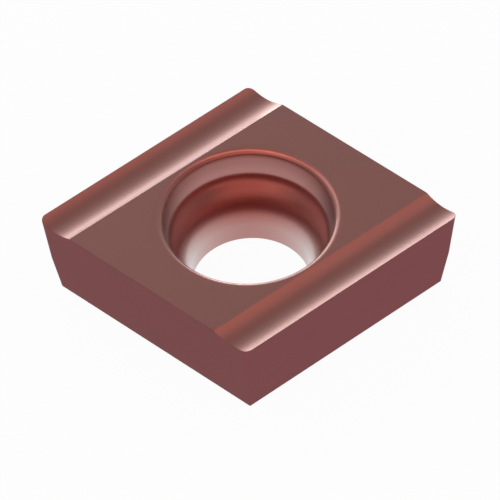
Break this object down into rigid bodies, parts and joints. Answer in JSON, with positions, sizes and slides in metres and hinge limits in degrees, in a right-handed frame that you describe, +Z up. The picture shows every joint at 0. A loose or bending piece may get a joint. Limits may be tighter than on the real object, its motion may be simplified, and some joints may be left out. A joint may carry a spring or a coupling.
{
  "type": "carbide insert",
  "caption": "Rhombic indexable cutting insert with relieved flanks, ground chip grooves along opposite edges and a screw hole with a rounded seat.",
  "frame": {"origin": "on the axis of the screw hole, in the bottom face that sits on the holder", "axes": "+Z up along the screw hole, out of the bottom face towards the cutting edges; +X from nose to nose through the two acute corners"},
  "size_m": [0.0096, 0.0082, 0.0024],
  "materials": {
    "coated_carbide": "thin hard coating on ground carbide, reddish brown with a metallic sheen"
  },
  "bodies": {
    "root": {"insert_body": "coated_carbide"}
  },
  "joints": []
}
